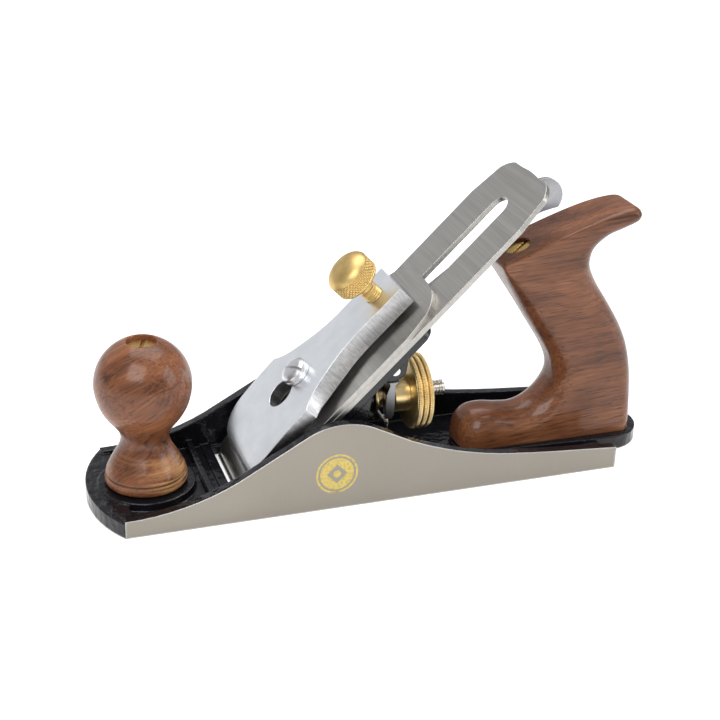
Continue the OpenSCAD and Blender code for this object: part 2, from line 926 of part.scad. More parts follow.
module lever_cap_screw() {
    color(bright_steel)
        on_bed()
            translate([screw_u, 0, 0])
                difference() {
                    rotate_extrude()
                        polygon(concat(
                            [
                                [0, -13], [2.4, -13], [3, -12.4], [3, cap_top + 0.06],
                                [6, cap_top + 0.06], [6.2, cap_top + 0.4],
                                [6.2, cap_top + 1.5], [5.8, cap_top + 1.9],
                                [6.2, cap_top + 2.3], [6.2, cap_top + 3.4]
                            ],
                            smooth_open([
                                [6, cap_top + 3.8], [4.6, cap_top + 4.7], [2.4, cap_top + 5.2],
                                [0.1, cap_top + 5.3]
                            ], 3),
                            [[0, cap_top + 5.3]]));
                    rotate([0, 0, 118])
                        translate([-8, -0.7, cap_top + 3.4])
                            cube([16, 1.4, 4]);
                }
}

sole_casting();
front_knob();
knob_bolt();
knob_nut();
rear_tote();
tote_bolt();
tote_nut();
frog_screws();
frog_washers();
frog();
depth_stud();
y_lever_pin();
lateral_pivot();
frog_adjusting_plate();
frog_plate_screw();
frog_adjusting_screw();
depth_nut();
y_lever();
lateral_lever();
lateral_roller();
cutter();
cap_iron();
cap_iron_screw();
lever_cap();
cap_thumbscrew();
lever_cap_screw();
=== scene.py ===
"""Looks of the smoothing plane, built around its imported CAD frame."""

import json
import math

import bmesh
import bpy
import numpy as np
from mathutils import Matrix, Vector


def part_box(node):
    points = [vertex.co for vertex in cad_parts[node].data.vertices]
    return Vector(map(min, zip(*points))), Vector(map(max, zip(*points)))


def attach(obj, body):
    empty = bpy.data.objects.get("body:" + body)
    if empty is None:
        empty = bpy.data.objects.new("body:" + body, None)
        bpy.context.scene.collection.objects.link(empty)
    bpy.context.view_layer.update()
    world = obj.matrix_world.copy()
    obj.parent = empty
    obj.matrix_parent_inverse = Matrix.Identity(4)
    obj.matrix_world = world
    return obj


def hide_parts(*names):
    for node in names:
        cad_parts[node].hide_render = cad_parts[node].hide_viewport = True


MM = 0.001
FULL_TURN = 2 * math.pi
CAD_SHARP_DEGREES = 24

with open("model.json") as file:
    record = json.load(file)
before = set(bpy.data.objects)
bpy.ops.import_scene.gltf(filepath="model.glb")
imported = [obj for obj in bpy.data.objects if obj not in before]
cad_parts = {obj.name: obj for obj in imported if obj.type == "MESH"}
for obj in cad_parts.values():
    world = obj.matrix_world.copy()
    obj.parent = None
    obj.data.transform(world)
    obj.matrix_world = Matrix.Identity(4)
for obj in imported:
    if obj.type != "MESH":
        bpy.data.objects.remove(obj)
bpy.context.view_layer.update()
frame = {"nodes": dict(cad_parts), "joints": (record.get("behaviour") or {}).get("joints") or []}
nodes = frame["nodes"]
joints = {joint["name"]: joint for joint in frame["joints"]}


# ---------------------------------------------------------------- mesh helpers

def raw_mesh(name, verts, faces):
    mesh = bpy.data.meshes.new(name)
    mesh.from_pydata([tuple(v) for v in verts], [], faces)
    return mesh


def new_object(name, data):
    """An object made from mesh, light or camera data, linked into the scene."""
    thing = bpy.data.objects.new(name, data)
    bpy.context.scene.collection.objects.link(thing)
    return thing


def shade_smooth(mesh, sharp):
    """Smooth shading, except at edges over `sharp` degrees."""
    mesh.polygons.foreach_set("use_smooth", [True] * len(mesh.polygons))
    mesh.set_sharp_from_angle(angle=math.radians(sharp))


def finish_mesh(mesh, name, material, body, replaces=None, sharp=35):
    """Makes a mesh into a piece that rides on a body."""
    mesh.name = name
    mesh.validate()
    tidy = bmesh.new()
    tidy.from_mesh(mesh)
    bmesh.ops.remove_doubles(tidy, verts=tidy.verts, dist=1e-7)
    bmesh.ops.recalc_face_normals(tidy, faces=tidy.faces)
    tidy.to_mesh(mesh)
    tidy.free()
    shade_smooth(mesh, sharp)
    mesh.materials.clear()
    mesh.materials.append(material)
    piece = new_object(name, mesh)
    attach(piece, body)
    if replaces:
        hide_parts(replaces)


def new_piece(name, verts, faces, material, body, replaces=None, sharp=35):
    """A mesh piece in the row frame, made from points and faces."""
    finish_mesh(raw_mesh(name, verts, faces), name, material, body, replaces, sharp)


def smooth_line(points, steps, closed=False):
    """Catmull-Rom curve through points, `steps` pieces to each span."""
    pts = np.array(points, float)
    n = len(pts)
    spans = n if closed else n - 1
    out = []
    for i in range(spans):
        if closed:
            p0, p1, p2, p3 = (pts[(i + k) % n] for k in (-1, 0, 1, 2))
        else:
            p0, p1, p2, p3 = (pts[min(max(i + k, 0), n - 1)] for k in (-1, 0, 1, 2))
        for k in range(steps):
            t = k / steps
            out.append(0.5 * (2 * p1 + (p2 - p0) * t + (2 * p0 - 5 * p1 + 4 * p2 - p3) * t ** 2
                              + (3 * p1 - p0 - 3 * p2 + p3) * t ** 3))
    if not closed:
        out.append(pts[-1])
    return np.array(out)


def grid_faces(rings, columns):
    """Quads of a tube of rings with `columns` points each."""
    return [
        (r * columns + c, r * columns + (c + 1) % columns,
         (r + 1) * columns + (c + 1) % columns, (r + 1) * columns + c)
        for r in range(rings - 1) for c in range(columns)
    ]


def lathe(profile, columns, offset=None):
    """Tube of rings about Z, in mm. `offset(turns, radius, z)` changes each ring's radii."""
    turns = np.arange(columns) * FULL_TURN / columns
    verts = []
    for radius, z in profile:
        radii = np.full(columns, float(radius))
        if offset is not None:
            radii = radii + offset(turns, radius, z)
        verts.extend(zip(radii * np.cos(turns), radii * np.sin(turns), np.full(columns, z)))
    return np.array(verts), grid_faces(len(profile), columns)


def capped(verts, faces, columns):
    """Closes both ends of a tube with one face each."""
    last = len(verts) - columns
    return faces + [tuple(range(columns - 1, -1, -1)), tuple(range(last, last + columns))]


def bored(verts, faces, columns):
    """Joins a tube's last ring to its first, which makes the wall of a bore."""
    last = len(verts) - columns
    return faces + [(last + c, last + (c + 1) % columns, (c + 1) % columns, c)
                    for c in range(columns)]


def evenly(low, high, step, radius):
    """Evenly spaced lathe points at one radius."""
    return [(radius, float(z)) for z in np.arange(low, high + step / 2, step)]


def helix(pitch, depth, low, high):
    """Offset for lathe() that cuts a screw thread between two heights, in mm."""
    def offset(turns, radius, z):
        if not low <= z <= high:
            return 0.0
        phase = (z / pitch - turns / FULL_TURN) % 1.0
        fade = min(1.0, (z - low) / pitch, (high - z) / pitch)
        return -depth * fade * np.abs(2 * phase - 1)
    return offset


def moved(verts, matrix):
    """Points in mm taken to metres and placed by a 4x4 matrix."""
    m = np.array(matrix)
    return np.asarray(verts) * MM @ m[:3, :3].T + m[:3, 3]


def along(axis, origin):
    """Matrix that takes +Z to `axis` at `origin`."""
    return Matrix.Translation(origin) @ Vector(axis).to_track_quat("Z", "Y").to_matrix().to_4x4()


def cut_by(mesh, tool):
    """Mesh with the tool's space taken out of it."""
    body = new_object("cut_body", mesh)
    knife = new_object("cut_tool", tool)
    cut = body.modifiers.new("cut", "BOOLEAN")
    cut.operation, cut.solver, cut.object = "DIFFERENCE", "EXACT", knife
    graph = bpy.context.evaluated_depsgraph_get()
    made = bpy.data.meshes.new_from_object(body.evaluated_get(graph))
    for thing in (body, knife):
        bpy.data.objects.remove(thing)
    return made


# ---------------------------------------------------------------- material helpers

def scaled(colour, factor):
    """Colour made darker or lighter, with no channel over 1."""
    return tuple(min(1.0, c * factor) for c in colour)


class Look:
    """One procedural material, built with short calls. Lengths are metres in the row frame."""

    def __init__(self, name):
        self.material = bpy.data.materials.new(name)
        self.material.use_nodes = True
        self.tree = self.material.node_tree
        self.shader = self.tree.nodes["Principled BSDF"]
        self.where = self.add("TexCoord").outputs["Object"]

    def add(self, kind, **settings):
        node = self.tree.nodes.new("ShaderNode" + kind)
        for key, value in settings.items():
            setattr(node, key, value)
        return node

    def put(self, socket, value):
        """Links a socket to another one, or sets its value."""
        if isinstance(value, bpy.types.NodeSocket):
            self.tree.links.new(value, socket)
        elif isinstance(value, (tuple, list)) and len(value) == 3 and socket.type == "RGBA":
            socket.default_value = (*value, 1.0)
        else:
            socket.default_value = value

    def space(self, scale, turn=(0, 0, 0)):
        """Object position, turned and then stretched."""
        turned = self.add("Mapping")
        self.put(turned.inputs["Vector"], self.where)
        turned.inputs["Rotation"].default_value = [math.radians(a) for a in turn]
        stretched = self.add("Mapping")
        self.put(stretched.inputs["Vector"], turned.outputs[0])
        stretched.inputs["Scale"].default_value = scale
        return stretched.outputs[0]

    def noise(self, scale, turn=(0, 0, 0), detail=3.0, rough=0.5, distortion=0.0):
        """Noise with `scale` cells to the metre: one number, or one for each turned axis."""
        if not isinstance(scale, tuple):
            scale = (scale,) * 3
        node = self.add("TexNoise")
        self.put(node.inputs["Vector"], self.space(scale, turn))
        node.inputs["Scale"].default_value = 1.0
        node.inputs["Detail"].default_value = detail
        node.inputs["Roughness"].default_value = rough
        node.inputs["Distortion"].default_value = distortion
        return node.outputs["Fac"]

    def calc(self, operation, a, b=0.0):
        node = self.add("Math", operation=operation)
        self.put(node.inputs[0], a)
        self.put(node.inputs[1], b)
        return node.outputs[0]

    def total(self, *terms):
        """Sum of (value, weight) terms."""
        first, *others = [self.calc("MULTIPLY", value, weight) for value, weight in terms]
        for other in others:
            first = self.calc("ADD", first, other)
        return first

    def band(self, value, low, high, to_low=0.0, to_high=1.0):
        """Value mapped from low..high to to_low..to_high, clamped."""
        node = self.add("MapRange")
        for i, v in enumerate((value, low, high, to_low, to_high)):
            self.put(node.inputs[i], v)
        return node.outputs[0]

    def ramp(self, value, stops, smooth=True):
        """Colour ramp with stops [(position, colour)]."""
        node = self.add("ValToRGB")
        self.put(node.inputs[0], value)
        node.color_ramp.interpolation = "EASE" if smooth else "LINEAR"
        elements = node.color_ramp.elements
        while len(elements) < len(stops):
            elements.new(0.5)
        for element, (position, colour) in zip(elements, stops):
            element.position = position
            element.color = (*colour, 1.0)
        return node.outputs[0]

    def mix(self, factor, a, b):
        """Colour a where the factor is 0, b where it is 1."""
        node = self.add("Mix", data_type="RGBA")
        for i, v in ((0, factor), (6, a), (7, b)):
            self.put(node.inputs[i], v)
        return node.outputs[2]

    def choose(self, factor, a, b):
        """Number a where the factor is 0, b where it is 1."""
        node = self.add("Mix", data_type="FLOAT")
        for i, v in ((0, factor), (2, a), (3, b)):
            self.put(node.inputs[i], v)
        return node.outputs[0]

    def over(self, colour, mask, amount, paint):
        """Colour with `amount` of the paint over it where the mask is 1."""
        return self.mix(self.calc("MULTIPLY", mask, amount), colour, paint)

    def parts(self, vector):
        """The X, Y and Z of a vector."""
        node = self.add("SeparateXYZ")
        self.put(node.inputs[0], vector)
        return node.outputs

    def sideways(self, low, high):
        """0 to 1 as the surface turns towards either side of the plane."""
        facing = self.parts(self.add("NewGeometry").outputs["Normal"])
        return self.band(self.calc("ABSOLUTE", facing[1]), low, high)

    def soft_edges(self, radius):
        """Normal with edges rounded by radius, and how near an edge the point is, 0 to 1."""
        bevel = self.add("Bevel", samples=8)
        bevel.inputs["Radius"].default_value = radius
        flat = self.add("NewGeometry").outputs["Normal"]
        dot = self.add("VectorMath", operation="DOT_PRODUCT")
        self.put(dot.inputs[0], bevel.outputs[0])
        self.put(dot.inputs[1], flat)
        return bevel.outputs[0], self.band(dot.outputs["Value"], 0.999, 0.9)

    def bump(self, height, distance, normal, strength=1.0):
        """Bump where height 1 stands `distance` metres proud."""
        node = self.add("Bump")
        node.inputs["Strength"].default_value = strength
        node.inputs["Distance"].default_value = distance
        self.put(node.inputs["Height"], height)
        self.put(node.inputs["Normal"], normal)
        return node.outputs[0]

    def done(self, **sockets):
        """Sets the shader's sockets, with underscores for spaces, and returns the material."""
        for key, value in sockets.items():
            self.put(self.shader.inputs[key.replace("_", " ")], value)
        return self.material


# ---------------------------------------------------------------- wood

BROAD_RINGS, FINE_RINGS, VEIN_RINGS = 480.0, 2100.0, 190.0      # radians to the metre


def wood(name, turn, ring_shift, dark, figure):
    """Dark brown wood: rings, fibres, veins and pores. Returns its look, colour and relief."""
    look = Look(name)
    _, y, z = look.parts(look.space((1, 1, 1), turn))
    warp = look.noise((14, 42, 42), turn, detail=2.0, distortion=0.6)
    ripple = look.noise((45, 170, 170), turn)
    depth = look.total((z, 1.0), (y, 0.62), (warp, 0.030), (ripple, 0.0022))
    depth = look.calc("ADD", depth, ring_shift)
    broad, fine, vein = (look.calc("SINE", look.calc("MULTIPLY", depth, rings))
                         for rings in (BROAD_RINGS, FINE_RINGS, VEIN_RINGS))
    patch = look.noise((22, 60, 60), turn, distortion=0.5)
    fibre = look.noise((40, 900, 900), turn, detail=4.0, rough=0.65)
    tone = look.total((broad, 0.035), (fine, 0.018), (patch, 0.55), (fibre, 0.45))
    colour = look.ramp(tone, [
        (0.33, scaled((0.070, 0.023, 0.009), dark)),
        (0.45, scaled((0.150, 0.051, 0.020), dark)),
        (0.56, scaled((0.215, 0.078, 0.032), dark)),
        (0.68, scaled((0.310, 0.128, 0.055), dark)),
    ], smooth=False)
    veins = look.calc("MULTIPLY", look.band(look.calc("ABSOLUTE", vein), 0.10, 0.0),
                      look.band(patch, 0.58, 0.38))
    colour = look.over(colour, veins, figure, (0.040, 0.016, 0.010))
    pores = look.band(look.noise((110, 1900, 1900), turn, detail=1.0), 0.60, 0.70)
    colour = look.over(colour, pores, 0.7, (0.030, 0.012, 0.008))
    return look, colour, look.calc("SUBTRACT", look.calc("MULTIPLY", fibre, 0.25), pores)


def varnished(look, colour, relief):
    """Clear gloss coat over the wood, with a painted highlight in lighter brown along the edges."""
    normal, edge = look.soft_edges(0.0006)
    smear = look.noise(90, detail=2.0)
    # Painted highlight: lighter brown along the edges
    return look.done(
        Base_Color=look.over(colour, edge, 0.35, (0.34, 0.17, 0.085)),
        Roughness=look.band(smear, 0.3, 0.7, 0.42, 0.55),
        Normal=look.bump(relief, 0.00005, normal, 0.8),
        Coat_Weight=0.45, Coat_Roughness=0.16, Specular_IOR_Level=0.16)


def tote_wood():
    return varnished(*wood("tote_wood", (0, 4, 0), 0.007, 0.80, 0.6))


def knob_wood():
    """As the handle's wood, with a streak of pale sapwood low on one side."""
    look, colour, relief = wood("knob_wood", (8, 28, 14), 0.0, 0.92, 1.0)
    low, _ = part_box("front_knob")
    x, y, z = look.parts(look.where)
    height = look.calc("SUBTRACT", z, low.z)
    wave = look.noise((40, 40, 240), detail=2.0)
    near_foot = look.band(look.calc("ADD", height, look.calc("MULTIPLY", wave, 0.010)),
                          0.021, 0.012)
    side = look.calc("MULTIPLY", look.band(y, 0.002, -0.006),
                     look.band(look.calc("ADD", x, y), low.x - 0.001, low.x + 0.008))
    streak = look.band(look.noise((60, 60, 900), detail=2.0), 0.40, 0.62)
    pale = look.calc("MULTIPLY", look.calc("MULTIPLY", near_foot, side), streak)
    colour = look.over(colour, pale, 0.85, (0.56, 0.30, 0.115))
    # Painted shade: a dark line in the groove where the foot's bead meets the body
    bead_height = 0.0051
    off_bead = look.calc("ABSOLUTE", look.calc("SUBTRACT", height, bead_height))
    colour = look.over(colour, look.band(off_bead, 0.0006, 0.0001), 0.8, (0.020, 0.009, 0.006))
    return varnished(look, colour, relief)


# ---------------------------------------------------------------- enamel and metals

def enamel_colour(look):
    """Black with a faint dust."""
    dust = look.band(look.noise(1500, detail=1.0), 0.66, 0.74)
    return look.over((0.006, 0.006, 0.008), dust, 0.3, (0.03, 0.03, 0.034))


def enamel(name, gloss, lumps):
    """Black stoved enamel over rough casting."""
    look = Look(name)
    normal, _ = look.soft_edges(0.0009)
    coarse = look.noise(170, detail=2.0)
    fine = look.noise(900, detail=2.0)
    height = look.calc("ADD", coarse, look.calc("MULTIPLY", fine, 0.22))
    return look.done(
        Base_Color=enamel_colour(look), Roughness=look.band(fine, 0.35, 0.65, gloss, gloss + 0.12),
        Normal=look.bump(height, lumps, normal), Coat_Weight=0.3, Coat_Roughness=0.06,
        Specular_IOR_Level=0.4)


def casting_look():
    """Black enamel, with the outer sides and the sole ground bright."""
    look = Look("casting_enamel")
    normal, edge = look.soft_edges(0.0012)
    low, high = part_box("sole_casting")
    _, y, z = look.parts(look.where)
    outer = look.band(look.calc("ABSOLUTE", y), high.y - 0.00045, high.y - 0.00025)
    side = look.calc("MULTIPLY", outer, look.sideways(0.6, 0.75))
    sole = look.band(z, low.z + 0.0005, low.z + 0.0002)
    ground = look.calc("MAXIMUM", side, sole)
    # Enamel
    coarse = look.noise(150, detail=2.0)
    fine = look.noise(800, detail=2.0)
    lumps = look.calc("ADD", coarse, look.calc("MULTIPLY", fine, 0.10))
    # Ground steel: fine marks across the side and faint cloudy staining
    marks = look.noise((2600, 2600, 160), rough=0.6)
    cloud = look.noise(26)
    speck = look.noise(3500, detail=1.0)
    steel = look.ramp(look.total((marks, 0.5), (cloud, 0.35), (speck, 0.15)), [
        (0.30, (0.255, 0.231, 0.197)), (0.5, (0.285, 0.260, 0.224)), (0.70, (0.315, 0.290, 0.254)),
    ])
    # Painted highlight: pale steel along the edges of the ground faces
    steel = look.over(steel, edge, 0.6, (0.78, 0.77, 0.74))
    rough = look.choose(ground, look.band(fine, 0.35, 0.65, 0.07, 0.14),
                        look.band(marks, 0.3, 0.7, 0.40, 0.52))
    height = look.choose(ground, lumps, look.calc("MULTIPLY", marks, 0.012))
    return look.done(
        Base_Color=look.mix(ground, enamel_colour(look), steel), Metallic=ground, Roughness=rough,
        Normal=look.bump(height, 0.0009, normal), Specular_IOR_Level=0.4)


def brushed(name, base, turn, brushed_along, rough, contrast, edge_highlight_tone=None, depth=0.000004,
            edge_radius=0.0004):
    """Brushed steel: fine marks along one axis of the turned space, with a painted highlight along
    the edges.
    """
    look = Look(name)
    normal, edge = look.soft_edges(edge_radius)

    def drawn_out(across, lengthwise):
        return tuple(lengthwise if axis == brushed_along else across for axis in "xyz")

    marks = look.noise(drawn_out(2400.0, 26.0), turn, detail=4.0, rough=0.65)
    bands = look.noise(drawn_out(420.0, 12.0), turn, detail=2.0)
    cloud = look.noise(34, detail=2.0)
    tone = look.total((marks, 0.55), (bands, 0.3), (cloud, 0.15))
    low, high = scaled(base, 1 - contrast), scaled(base, 1 + contrast)
    colour = look.ramp(tone, [(0.32, low), (0.68, high)], smooth=False)
    # Painted highlight: a lighter tone along the edges
    return look.done(
        Base_Color=look.over(colour, edge, 0.75, edge_highlight_tone or high), Metallic=1.0,
        Roughness=look.band(tone, 0.3, 0.7, rough + 0.06, rough - 0.05),
        Normal=look.bump(marks, depth, normal))


def cast_polish(name, base, ground, rough):
    """Plated cap: faint clouding on the faces, the faces turned to either side painted a darker
    grey as shade with fine marks across them, and a painted highlight along the edges.
    """
    look = Look(name)
    normal, edge = look.soft_edges(0.0005)
    mottle = look.noise(120)
    wave = look.noise(45, detail=2.0)
    marks = look.noise((1500, 300, 260), (0, 45, 0), rough=0.6)
    # Painted shade: faces turned to either side are drawn in the darker grey, with fine marks
    # across
    side = look.sideways(0.55, 0.8)
    plated = look.ramp(mottle, [(0.3, scaled(base, 0.93)), (0.7, base)])
    shaded_side = look.ramp(marks, [(0.35, scaled(ground, 0.72)), (0.65, ground)])
    # Painted highlight: near-white along the edges
    colour = look.over(look.mix(side, plated, shaded_side), edge, 0.5, (0.90, 0.91, 0.92))
    height = look.calc("ADD", wave, look.calc("MULTIPLY", look.calc("MULTIPLY", marks, side), 0.10))
    return look.done(
        Base_Color=colour, Metallic=1.0,
        Roughness=look.band(mottle, 0.3, 0.7, rough + 0.06, rough),
        Normal=look.bump(height, 0.00012, normal))


def turned_brass(name, base, rough):
    """Polished brass with faint tarnish, and a painted highlight along the edges."""
    look = Look(name)
    normal, edge = look.soft_edges(0.00025)
    tarnish = look.noise(150, detail=4.0, rough=0.6)
    colour = look.ramp(tarnish, [(0.32, scaled(base, 0.80)), (0.62, base)])
    # Painted highlight: pale brass along the edges
    return look.done(
        Base_Color=look.over(colour, edge, 0.6, (0.92, 0.70, 0.32)), Metallic=1.0,
        Roughness=look.band(tarnish, 0.3, 0.7, rough + 0.08, rough), Normal=normal)


def matte_gold():
    """Thin gold printing, a little worn."""
    look = Look("gold_print")
    colour = look.ramp(look.noise(900), [(0.3, (0.40, 0.31, 0.085)), (0.6, (0.54, 0.42, 0.12))])
    return look.done(Base_Color=colour, Metallic=0.35, Roughness=0.45)


BED_TURN = (0, 45, 0)
tote_material = tote_wood()
knob_material = knob_wood()
frog_enamel = enamel("frog_enamel", 0.18, 0.0004)
casting = casting_look()
# Edge tones are the colours of the painted highlight along the edges
cutter_steel = brushed("cutter_steel", (0.40, 0.385, 0.36), BED_TURN, "y", 0.34, 0.2,
                       edge_highlight_tone=(0.52, 0.51, 0.49))
bright_steel = brushed("bright_steel", (0.66, 0.66, 0.67), (0, 0, 0), "y", 0.24, 0.10,
                       edge_highlight_tone=(0.9, 0.9, 0.9), edge_radius=0.0002)
# The second grey is the painted shade on the cap's sides
cap_polish = cast_polish("cap_polish", (0.84, 0.86, 0.88), (0.50, 0.50, 0.505), 0.30)
brass = turned_brass("turned_brass", (0.80, 0.55, 0.20), 0.24)
satin_brass = turned_brass("satin_brass", (0.64, 0.45, 0.175), 0.40)
wheel_brass = turned_brass("wheel_brass", (0.90, 0.69, 0.34), 0.28)
plain_steel = brushed("plain_steel", (0.62, 0.62, 0.63), BED_TURN, "y", 0.34, 0.08,
                      depth=0.0000005, edge_radius=0.0002)
dull_steel = brushed("dull_steel", (0.30, 0.30, 0.31), BED_TURN, "x", 0.30, 0.12,
                     edge_highlight_tone=(0.62, 0.62, 0.63), edge_radius=0.0003)
gold_print = matte_gold()


# ---------------------------------------------------------------- CAD nodes that stay

CAD_LOOKS = {
    "sole_casting": casting, "frog": frog_enamel, "lever_cap": cap_polish, "cutter": cutter_steel,
    "cap_iron": cutter_steel, "knob_nut": brass, "tote_nut": brass,
    "lateral_lever": dull_steel, "y_lever": dull_steel, "lever_cap_screw": plain_steel,
}
for node, thing in nodes.items():
    thing.data.materials.clear()
    thing.data.materials.append(CAD_LOOKS.get(node, bright_steel))
    shade_smooth(thing.data, CAD_SHARP_DEGREES)


# ---------------------------------------------------------------- wooden parts

def make_knob():
    low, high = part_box("front_knob")
    axis = (low + high) / 2
    nut_low, nut_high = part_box("knob_nut")
    columns, bore, ball = 128, 3.2, 20.2
    nut = (nut_high.x - nut_low.x) / 2 / MM + 0.1
    top = (high.z - low.z) / MM
    nut_seat = (nut_high.z - low.z) / MM - 3
    foot = [(15.2, 0), (16.9, 1), (17.4, 2.6), (17.1, 4.5)]
    groove = [(16.5, 4.9), (16.3, 5.1), (16.6, 5.3)]
    body = [
        (16.9, 5.6), (16.5, 7), (15, 10.1), (13, 13.6), (11.3, 16.6), (10.3, 19.5), (10.2, 22),
        (11.1, 25), (13.3, 28.2), (16, 31.8), (18.4, 36.4), (19.8, 41.4),
    ]
    crown = [
        (ball * math.cos(math.radians(a)), top - ball + ball * math.sin(math.radians(a)))
        for a in np.linspace(-4, 70.5, 26)
    ]
    rim_radius, rim_z = crown[-1]
    crown += [(rim_radius - 0.35, rim_z - 0.02), (nut + 0.15, rim_z - 0.35), (nut, rim_z - 0.8)]
    profile = [(bore, 0.0), (10, 0)] + [tuple(p) for p in smooth_line(foot, 5)] + groove
    profile += [tuple(p) for p in smooth_line(body, 6)]
    profile += crown + [(nut, nut_seat), (bore, nut_seat)]
    verts, faces = lathe(profile, columns)
    place = Matrix.Translation((axis.x, axis.y, low.z))
    new_piece("turned_knob", moved(verts, place), bored(verts, faces, columns), knob_material,
              "body", "front_knob")


# Handle edges in mm: x from the front corner of the ground side, height, and how round the edge
# is. Points with the same number face each other across the handle. They follow the CAD outline,
# with a rounder horn.
TOTE_FRONT = [
    (157, -24, 3), (155.4, -12, 6), (154.6, 2, 8.5), (155, 13.5, 10.5), (157.6, 19.2, 11.5),
    (162, 22.2, 12), (168.5, 22.9, 12), (176, 21.9, 12), (184, 21.4, 12), (190.6, 24, 12),
    (196.2, 29.4, 11.5), (199, 35.5, 11), (198, 42.5, 10), (193.6, 50.8, 10),
    (187.3, 60.4, 10), (180.4, 71, 10), (173.4, 82, 7), (168, 91.2, 2.2), (167.4, 93.6, 1.6),
    (169.4, 95.2, 1.2), (178.5, 98.3, 1.2), (190, 103, 1.2), (203, 107.8, 1.2),
    (215, 111.8, 2.2), (224, 114, 3.8),
]
TOTE_REAR = [
    (238, -24, 3), (239, -14, 6), (239.4, -8, 8), (239.4, -5, 8.5), (239.4, -2, 9),
    (239.4, 0.5, 9), (239.4, 3, 9), (239.4, 6, 9), (239.3, 11, 9), (239, 18, 9.5),
    (238.4, 27, 10), (237.4, 36, 10.5), (235.6, 44.5, 11), (232.8, 52.4, 11),
    (228.6, 60.8, 12), (222.8, 69.8, 12), (216.2, 79.6, 12), (212.4, 87.4, 12),
    (212, 92.4, 12), (213.2, 96.6, 11), (218, 101.4, 9), (224.6, 104.6, 7),
    (230.8, 107.6, 6), (232.4, 111.4, 5.5), (229.6, 114.2, 4.8),
]
TOTE_START = -117.0


def make_tote():
    """Handle: rings of its outline, drawn in towards each side face, cut off at the platform."""
    steps, levels, draw_in = 5, 9, 0.72
    low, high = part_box("rear_tote")
    half = (high.y - low.y) / 2 / MM
    line = smooth_line(TOTE_FRONT + TOTE_REAR[::-1], steps, closed=True)
    tangent = np.roll(line, -1, 0)[:, :2] - np.roll(line, 1, 0)[:, :2]
    tangent /= np.linalg.norm(tangent, axis=1)[:, None]
    inward = np.stack([tangent[:, 1], -tangent[:, 0]], axis=1)
    rounding = np.minimum(line[:, 2], half)
    rings = []
    rising = [math.radians(90 * k / levels) for k in range(levels + 1)]
    for side, angles in ((-1, rising[::-1]), (1, rising)):
        for angle in angles:
            inset = rounding * (1 - math.cos(angle)) * draw_in
            across = side * (half - rounding + rounding * math.sin(angle))
            ring = line[:, :2] + inward * inset[:, None]
            rings.append(np.stack([ring[:, 0] + TOTE_START, across, ring[:, 1]], axis=1))
    points = np.concatenate(rings)
    faces = capped(points, grid_faces(len(rings), len(line)), len(line))
    mesh = raw_mesh("tote_blank", moved(points, Matrix.Identity(4)), faces)
    trimmed = bmesh.new()
    trimmed.from_mesh(mesh)
    bmesh.ops.recalc_face_normals(trimmed, faces=trimmed.faces)
    everything = trimmed.verts[:] + trimmed.edges[:] + trimmed.faces[:]
    cut = bmesh.ops.bisect_plane(trimmed, geom=everything, plane_co=(0, 0, low.z),
                                 plane_no=(0, 0, 1), clear_inner=True)
    rim = [e for e in cut["geom_cut"] if isinstance(e, bmesh.types.BMEdge)]
    bmesh.ops.holes_fill(trimmed, edges=rim)
    trimmed.to_mesh(mesh)
    trimmed.free()
    # Recess for the nut, in line with the bolt
    nut_low, nut_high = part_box("tote_nut")
    bolt_low, bolt_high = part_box("tote_bolt")
    nut_middle = (nut_low + nut_high) / 2
    axis = (nut_middle - (bolt_low + bolt_high) / 2).normalized()
    columns = 64
    profile = [(4.5, -6.2), (4.5, 4), (6.1, 4.0), (6.1, 11), (7.2, 12.6), (9, 14.5), (9, 40)]
    verts, faces = lathe(profile, columns)
    tool = raw_mesh("recess_tool", moved(verts, along(axis, nut_middle)),
                    capped(verts, faces, columns))
    finish_mesh(cut_by(mesh, tool), "shaped_tote", tote_material, "body", "rear_tote", 40)


# ---------------------------------------------------------------- turned metal parts

def make_thumbscrew():
    """Brass screw: threaded shank, collar, diamond knurled rim and a domed top."""
    radius, knurl_low, knurl_high = 10.0, 24.5, 30.7
    diamonds, depth, end_fade, columns = 36, 0.62, 0.35, 504
    thread = helix(1.25, 0.62, 4.8, 18.2)

    def offset(turns, r, z):
        if not knurl_low <= z <= knurl_high:
            return thread(turns, r, z)
        lean = (z - knurl_low) * diamonds / (FULL_TURN * radius)
        right, left = (np.abs(((turns * diamonds / FULL_TURN + shift) % 1.0) * 2 - 1)
                       for shift in (lean, -lean))
        fade = min(1.0, (z - knurl_low) / end_fade, (knurl_high - z) / end_fade)
        return -depth * fade * np.maximum(right, left) ** 2.5

    dome = [(9.75, 31.3), (9.1, 32.3), (7.6, 33.5), (5, 34.6), (2.2, 35.1), (0.02, 35.2)]
    profile = [(0.02, 2.25), (2.6, 2.25), (3.6, 4.2)] + evenly(4.6, 18.4, 0.156, 4.0)
    profile += [(3.4, 18.8), (3.4, 20.2), (4.4, 20.8), (4.4, 22.9), (4.8, 23.1), (8.6, 23.2),
                (9.4, 23.5), (9.9, 24.1)]
    profile += evenly(knurl_low, knurl_high, 0.115, radius) + [(9.95, 30.95)]
    profile += [tuple(point) for point in smooth_line(dome, 4)]
    verts, faces = lathe(profile, columns, offset)
    joint = joints["thumbscrew_turn"]
    new_piece("knurled_thumbscrew", moved(verts, along(joint["axis"], joint["pos_m"])), faces,
              satin_brass, "thumbscrew", "cap_thumbscrew", 30)


